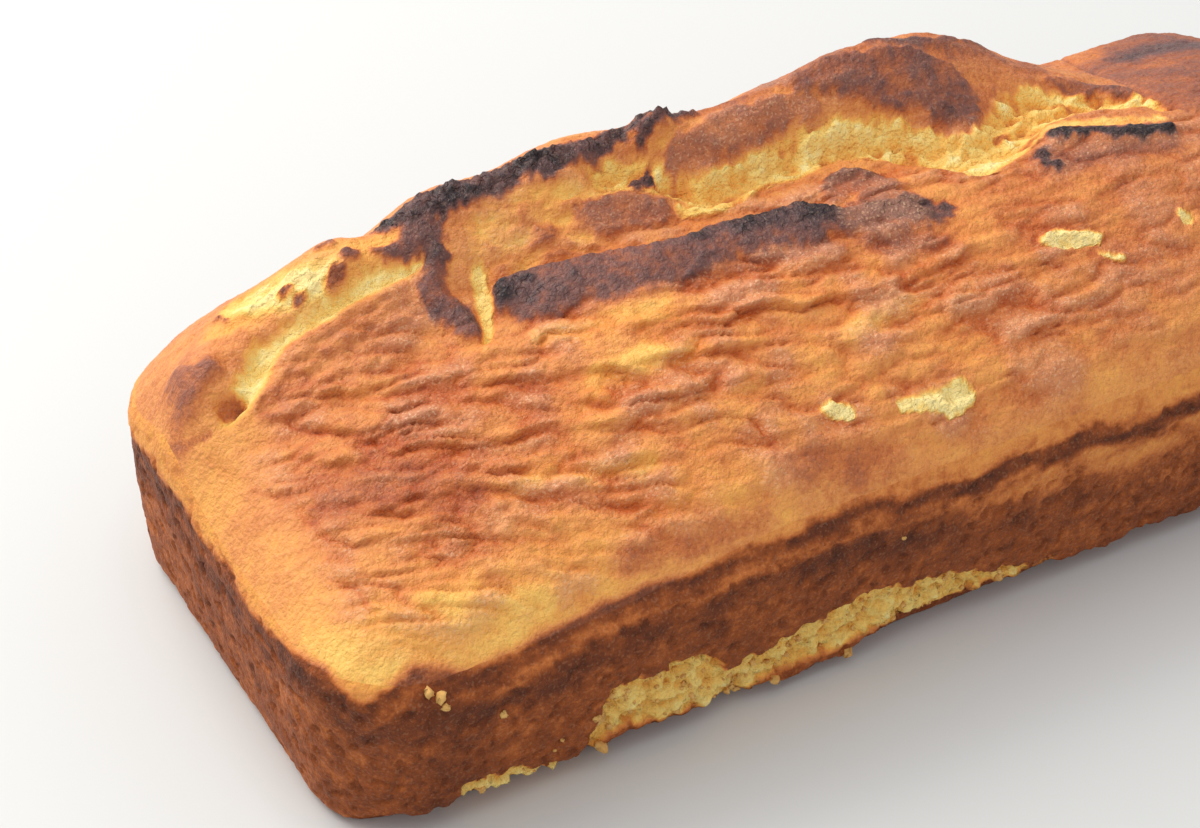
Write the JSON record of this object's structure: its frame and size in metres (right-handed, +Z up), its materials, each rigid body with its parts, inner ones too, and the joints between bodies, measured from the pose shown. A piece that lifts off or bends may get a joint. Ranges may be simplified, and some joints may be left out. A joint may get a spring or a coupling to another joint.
{
  "type": "pound cake loaf",
  "caption": "Whole uncut loaf cake, baked in a rectangular tin, with a browned wrinkled top that split open along its length and browned side walls",
  "frame": {"origin": "middle of the flat underside that the loaf rests on", "axes": "+X along the loaf towards the end that the picture cuts off, -Y towards the side that the picture shows, +Z up"},
  "size_m": [0.2454, 0.1053, 0.0714],
  "materials": {
    "browned_crust": "matte"
  },
  "bodies": {
    "root": {"loaf": "browned_crust"}
  },
  "joints": []
}
